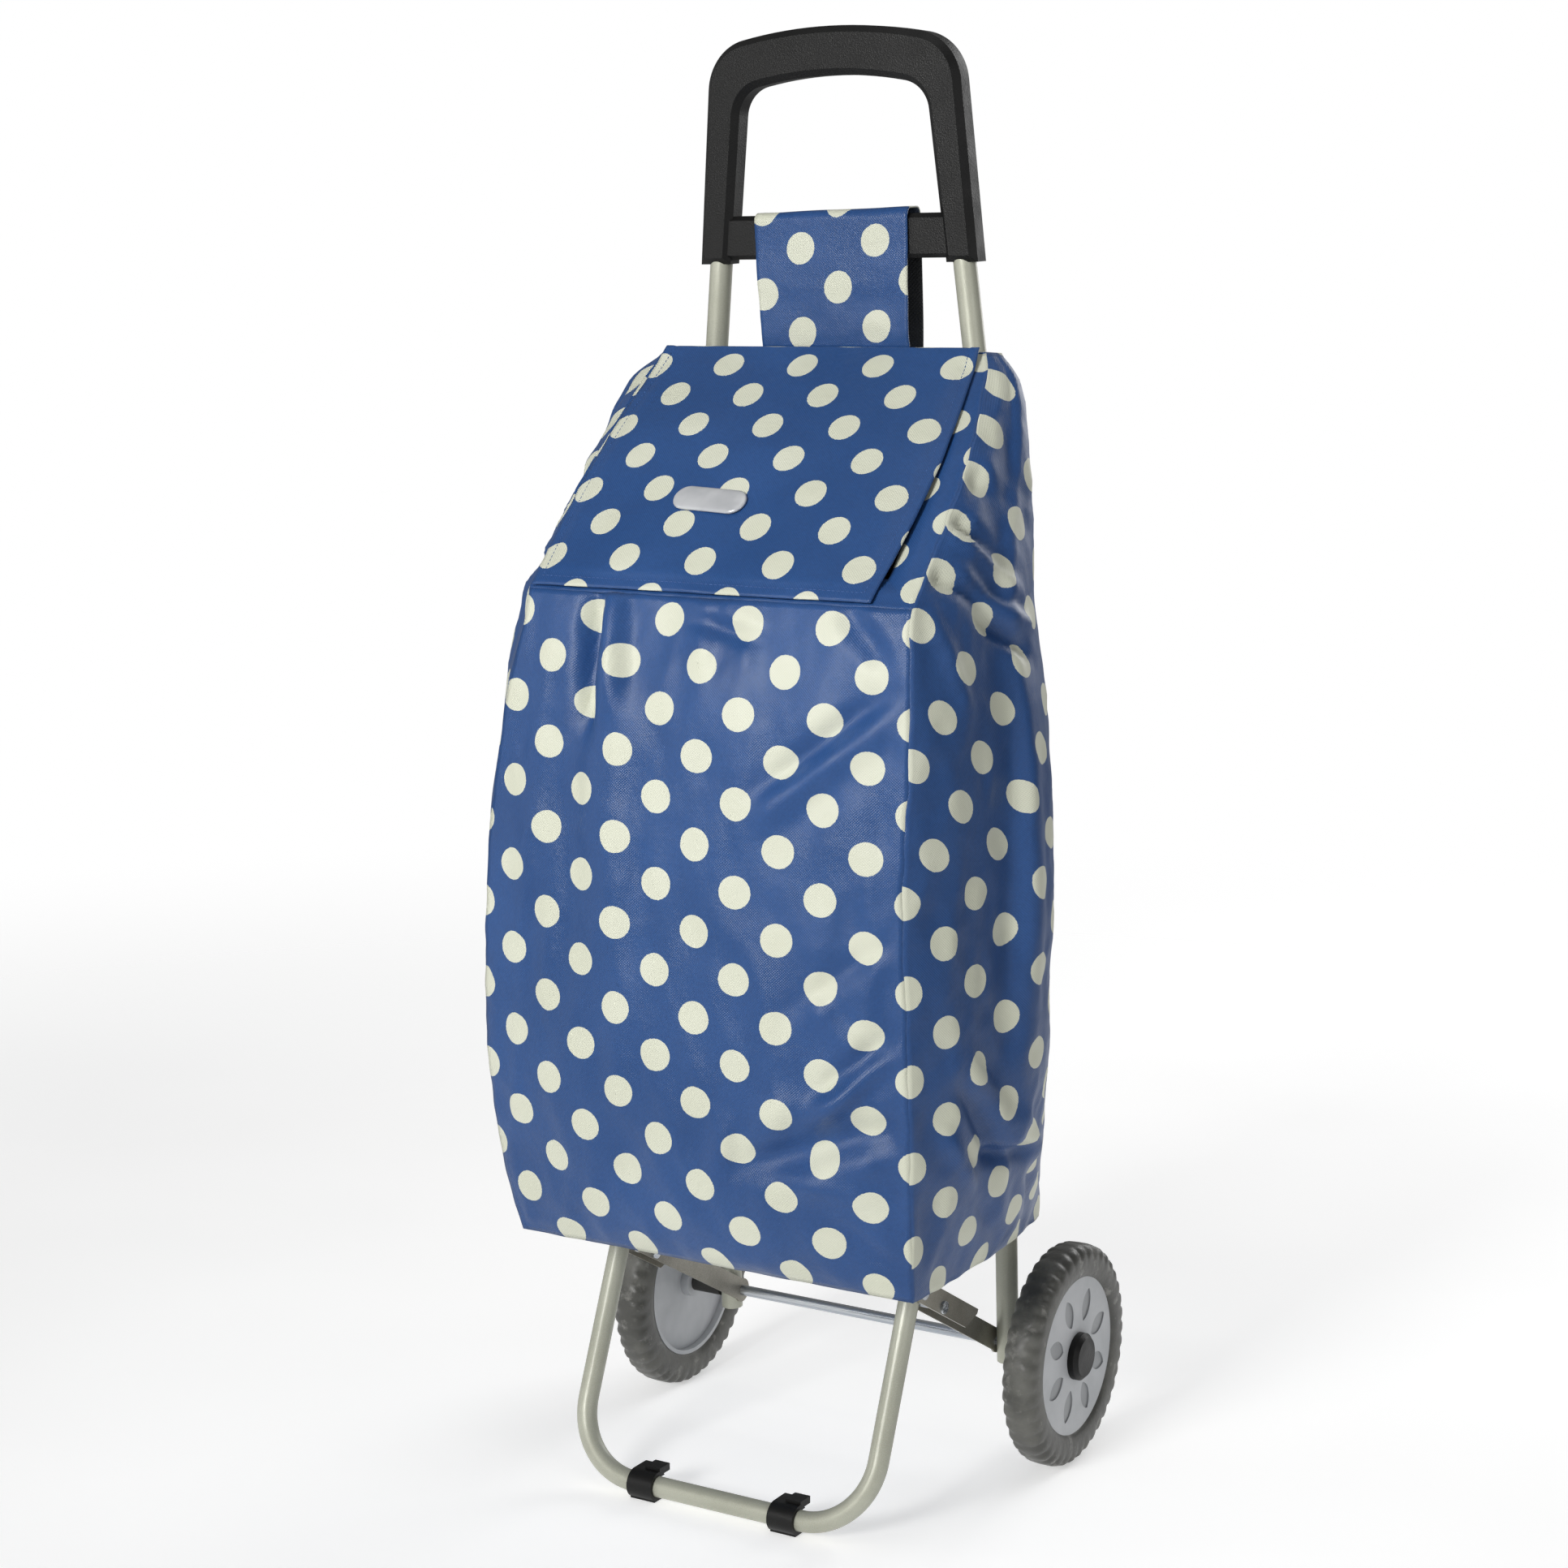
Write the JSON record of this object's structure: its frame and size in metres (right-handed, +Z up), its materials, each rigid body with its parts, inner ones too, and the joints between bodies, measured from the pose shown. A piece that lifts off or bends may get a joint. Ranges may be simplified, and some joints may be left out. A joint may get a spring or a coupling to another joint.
{
  "type": "folding shopping trolley",
  "caption": "Folding two-wheeled shopping trolley: leaning tube frame with bow handle, fold-up front stand, flapped fabric bag hung from the crossbar.",
  "frame": {"origin": "on the floor, under the middle of the bounding box", "axes": "+Z up, -Y towards the bag's front, +X to the right seen from the front"},
  "size_m": [0.406, 0.339, 1.0134],
  "materials": {
    "tube_paint": "warm champagne-grey satin paint",
    "bracket_steel": "grey-brown painted pressed steel",
    "zinc": "bright zinc plate",
    "spacer_plastic": "black moulded sleeve",
    "handle_plastic": "black satin moulding",
    "black_plastic": "black moulding",
    "hub_plastic": "light grey moulding",
    "tyre_foam": "dark grey foam tread",
    "dotted_fabric": "royal-blue coated cloth with cream dots",
    "black_webbing": "black woven tape",
    "badge_gel": "blank domed grey badge"
  },
  "bodies": {
    "frame": {"rear_tube_left": "tube_paint", "rear_tube_right": "tube_paint", "cross_brace": "bracket_steel", "brace_rivets": "zinc", "axle": "zinc", "axle_clips": "zinc", "wheel_spacers": "spacer_plastic", "handle": "handle_plastic", "handle_screws": "zinc", "bag_base_panel": "dotted_fabric", "bag_top_panel": "dotted_fabric", "bag_back_panel": "dotted_fabric", "bag_front_panel": "dotted_fabric", "bag_side_left": "dotted_fabric", "bag_side_right": "dotted_fabric", "mouth_hem": "dotted_fabric", "mouth_loop_tape": "black_webbing", "hanging_strap": "dotted_fabric", "strap_lining": "black_webbing", "tube_loops": "black_webbing"},
    "flap": {"flap_panel": "dotted_fabric", "flap_badge": "badge_gel", "flap_hook_tape": "black_webbing"},
    "stand": {"bracket_left": "bracket_steel", "bracket_right": "bracket_steel", "pivot_rivets": "zinc", "stop_pins": "zinc"},
    "leg": {"leg_tube": "tube_paint", "foot_clip_left": "black_plastic", "foot_clip_right": "black_plastic"},
    "wheel_left": {"tyre_left": "tyre_foam", "hub_left": "hub_plastic", "hub_plate_left": "hub_plastic", "hub_cap_left": "black_plastic"},
    "wheel_right": {"tyre_right": "tyre_foam", "hub_right": "hub_plastic", "hub_plate_right": "hub_plastic", "hub_cap_right": "black_plastic"}
  },
  "joints": [
    {"name": "flap_open", "type": "hinge", "parent": "frame", "child": "flap", "pos_m": [0, 0.01459, 0.79554], "axis": [-1, 0, 0], "range_deg": [0, 115]},
    {"name": "stand_fold", "type": "hinge", "parent": "frame", "child": "stand", "pos_m": [0, 0.088, 0.08], "axis": [-1, 0, 0], "range_deg": [0, 44], "deforming": ["bag_base_panel", "bag_back_panel"]},
    {"name": "leg_fold", "type": "hinge", "parent": "stand", "child": "leg", "pos_m": [0, -0.062, 0.164], "axis": [1, 0, 0], "range_deg": [0, 60]},
    {"name": "wheel_left_spin", "type": "hinge", "parent": "frame", "child": "wheel_left", "pos_m": [-0.163, 0.088, 0.08], "axis": [1, 0, 0], "continuous": true},
    {"name": "wheel_right_spin", "type": "hinge", "parent": "frame", "child": "wheel_right", "pos_m": [0.163, 0.088, 0.08], "axis": [1, 0, 0], "continuous": true}
  ],
  "couplings": [
    {"joint": "leg_fold", "follows": "stand_fold", "ratio": 1.3636}
  ]
}
